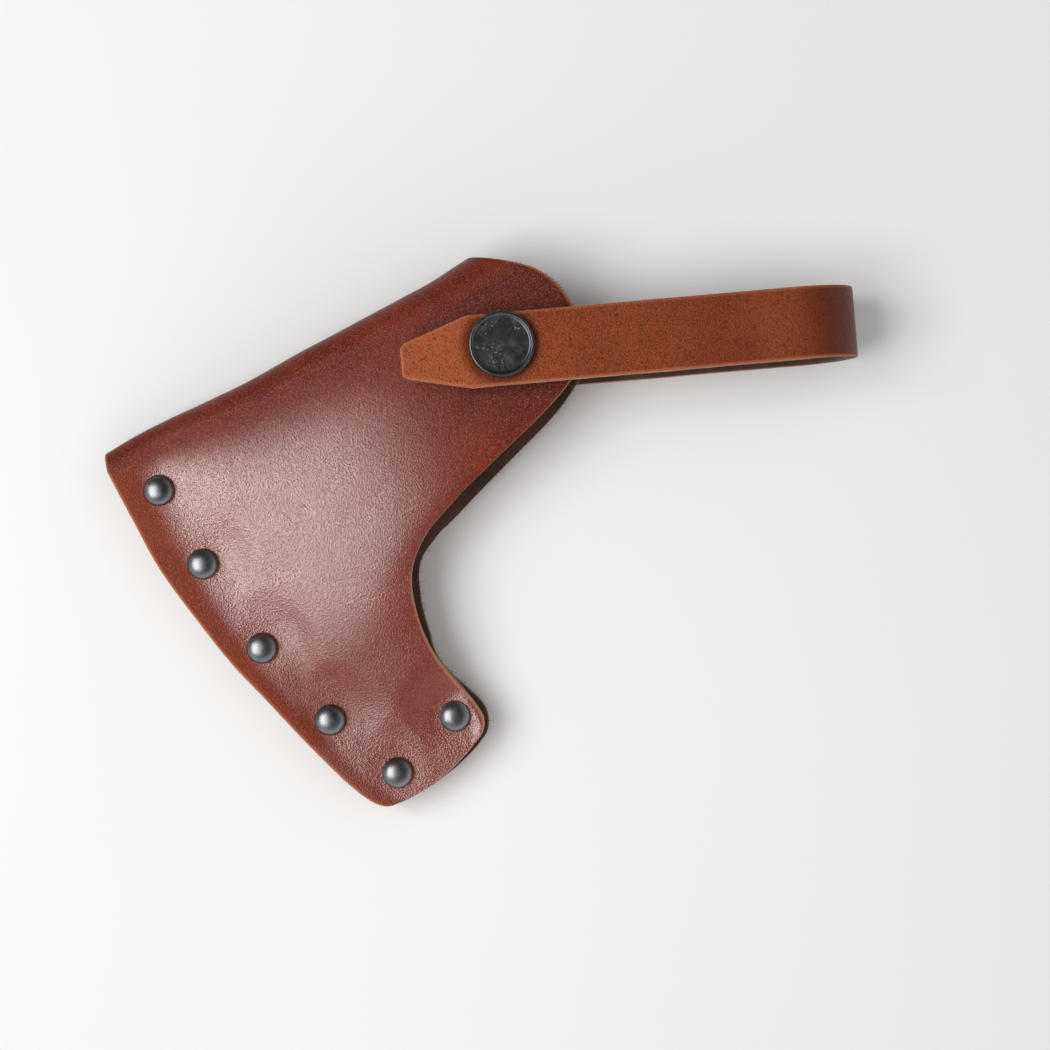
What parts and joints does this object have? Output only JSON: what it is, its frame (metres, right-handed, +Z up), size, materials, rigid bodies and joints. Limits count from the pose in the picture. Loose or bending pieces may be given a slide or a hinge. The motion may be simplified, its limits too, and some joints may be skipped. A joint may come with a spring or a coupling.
{
  "type": "axe head sheath",
  "caption": "Folded leather cover for an axe head, riveted along the cutting edge, with a strap that goes round the poll and snaps shut on the front.",
  "frame": {"origin": "under the middle of the part's bounding box, on the surface it lies on", "axes": "+X along the fold from the toe of the blade towards the strap's bend, +Y across towards the fold, +Z up through both panels"},
  "size_m": [0.1906, 0.116, 0.0329],
  "materials": {
    "body_leather": "satin oil-tanned oxblood leather",
    "welt_leather": "raw tan leather",
    "strap_leather": "grained orange-brown leather",
    "rivet_gunmetal": "gunmetal plated, satin",
    "snap_black": "blackened steel, worn satin",
    "spring_steel": "bright spring wire"
  },
  "bodies": {
    "sheath": {"leather_body": "body_leather", "welt_strip": "welt_leather", "rivet_cap_1": "rivet_gunmetal", "rivet_base_1": "rivet_gunmetal", "rivet_cap_2": "rivet_gunmetal", "rivet_base_2": "rivet_gunmetal", "rivet_cap_3": "rivet_gunmetal", "rivet_base_3": "rivet_gunmetal", "rivet_cap_4": "rivet_gunmetal", "rivet_base_4": "rivet_gunmetal", "rivet_cap_5": "rivet_gunmetal", "rivet_base_5": "rivet_gunmetal", "rivet_cap_6": "rivet_gunmetal", "rivet_base_6": "rivet_gunmetal", "strap_rear_run": "strap_leather", "strap_rivet_cap_1": "rivet_gunmetal", "strap_rivet_base_1": "rivet_gunmetal", "strap_rivet_cap_2": "rivet_gunmetal", "strap_rivet_base_2": "rivet_gunmetal", "snap_stud": "snap_black", "snap_eyelet": "snap_black"},
    "strap_flap": {"strap_front_run": "strap_leather", "snap_cap": "snap_black", "snap_socket": "snap_black", "snap_spring": "spring_steel"}
  },
  "joints": [
    {"name": "strap_open", "type": "hinge", "parent": "sheath", "child": "strap_flap", "pos_m": [0.09173, -0.00348, 0.01638], "axis": [0.3907, 0.9205, 0], "range_deg": [0, 175]}
  ]
}
